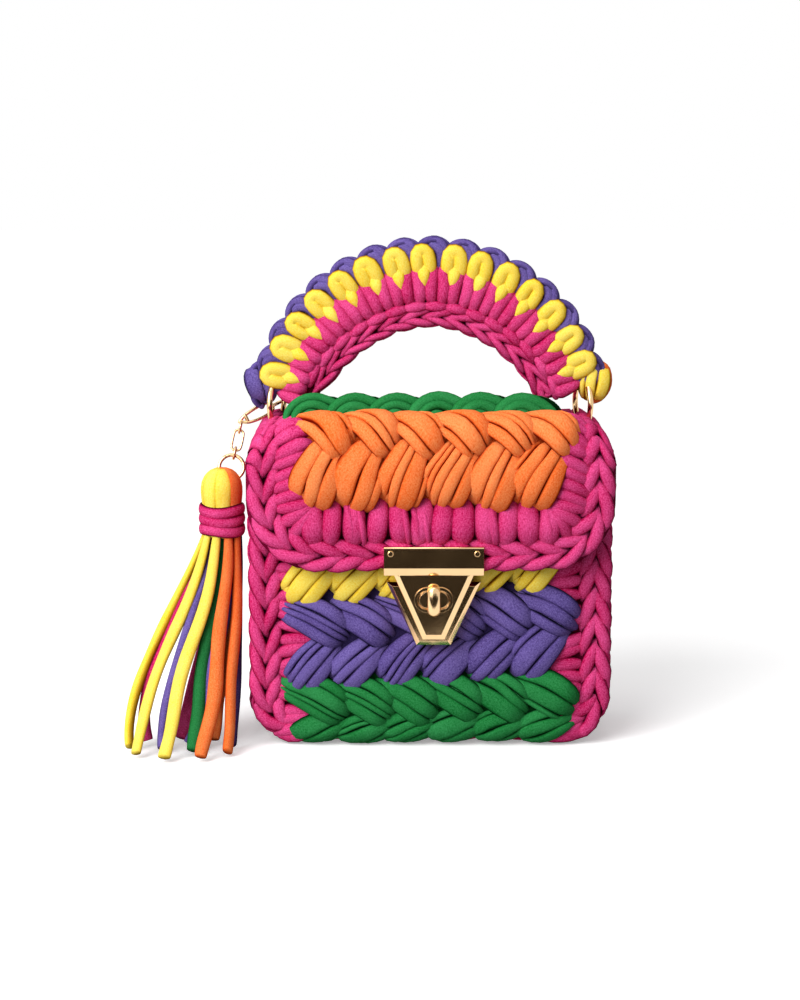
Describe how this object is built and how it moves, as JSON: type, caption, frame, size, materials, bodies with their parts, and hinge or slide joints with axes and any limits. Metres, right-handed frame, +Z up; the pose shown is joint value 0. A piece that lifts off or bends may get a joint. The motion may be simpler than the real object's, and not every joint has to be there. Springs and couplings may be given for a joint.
{
  "type": "crocheted flap handbag",
  "caption": "Small structured handbag crocheted in thick yarn, with a front flap on a turn lock, an arched top handle on rings and a hanging tassel charm.",
  "frame": {"origin": "middle of the flat bottom of the bag, on the surface it stands on", "axes": "+Z up, the flap and lock face -Y, the charm hangs on the -X side"},
  "size_m": [0.2482, 0.1165, 0.2575],
  "materials": {
    "yarn_magenta": "matte jersey yarn",
    "yarn_yellow": "matte jersey yarn",
    "yarn_purple": "matte jersey yarn",
    "yarn_green": "matte jersey yarn",
    "yarn_orange": "matte jersey yarn",
    "gold_metal": "polished plate",
    "spring_steel": "plain"
  },
  "bodies": {
    "bag": {"back_panel": "yarn_magenta", "clasp_backing_plate": "gold_metal", "clasp_bar": "gold_metal", "clasp_base_tray": "gold_metal", "clasp_clamp_plate": "gold_metal", "clasp_detent_spring": "spring_steel", "clasp_eyelet": "gold_metal", "clasp_hasp_plate": "gold_metal", "clasp_screw_left": "gold_metal", "clasp_screw_right": "gold_metal", "flap": "yarn_magenta", "flap_row_orange": "yarn_orange", "front_panel": "yarn_magenta", "front_row_green": "yarn_green", "front_row_purple": "yarn_purple", "front_row_yellow": "yarn_yellow", "gusset": "yarn_magenta", "top_row_green": "yarn_green"},
    "handle": {"handle_magenta_band": "yarn_magenta", "handle_purple_edge": "yarn_purple", "handle_yellow_band": "yarn_yellow", "ring_left": "gold_metal", "ring_right": "gold_metal"},
    "charm": {"charm_jump_ring": "gold_metal", "charm_link_low": "gold_metal", "charm_link_middle": "gold_metal", "charm_link_top": "gold_metal", "charm_snap_hook": "gold_metal"},
    "tassel": {"tassel_band": "yarn_magenta", "tassel_head": "yarn_yellow", "tassel_ring": "gold_metal", "strand_inner_1_purple": "yarn_purple", "strand_inner_2_green": "yarn_green", "strand_inner_3_purple": "yarn_purple", "strand_outer_1_yellow": "yarn_yellow", "strand_outer_2_yellow": "yarn_yellow", "strand_outer_3_yellow": "yarn_yellow", "strand_outer_4_orange": "yarn_orange", "strand_outer_5_orange": "yarn_orange", "strand_outer_6_purple": "yarn_purple", "strand_outer_7_orange": "yarn_orange", "strand_outer_8_magenta": "yarn_magenta", "strand_outer_9_magenta": "yarn_magenta"},
    "knob": {"clasp_turn_knob": "gold_metal", "clasp_retaining_clip": "spring_steel"}
  },
  "joints": [
    {"name": "handle_swing", "type": "hinge", "parent": "bag", "child": "handle", "pos_m": [0, 0, 0.1724], "axis": [1, 0, 0], "range_deg": [-20, 42]},
    {"name": "charm_swing", "type": "hinge", "parent": "bag", "child": "charm", "pos_m": [-0.079, 0, 0.1724], "axis": [1, 0, 0], "range_deg": [-5, 15]},
    {"name": "tassel_swing", "type": "hinge", "parent": "charm", "child": "tassel", "pos_m": [-0.10275, 0.00015, 0.1385], "axis": [0, 0.9517, -0.307], "range_deg": [0, 50]},
    {"name": "knob_turn", "type": "hinge", "parent": "bag", "child": "knob", "pos_m": [0.0015, -0.055, 0.0792], "axis": [0, 1, 0], "range_deg": [0, 90]}
  ]
}
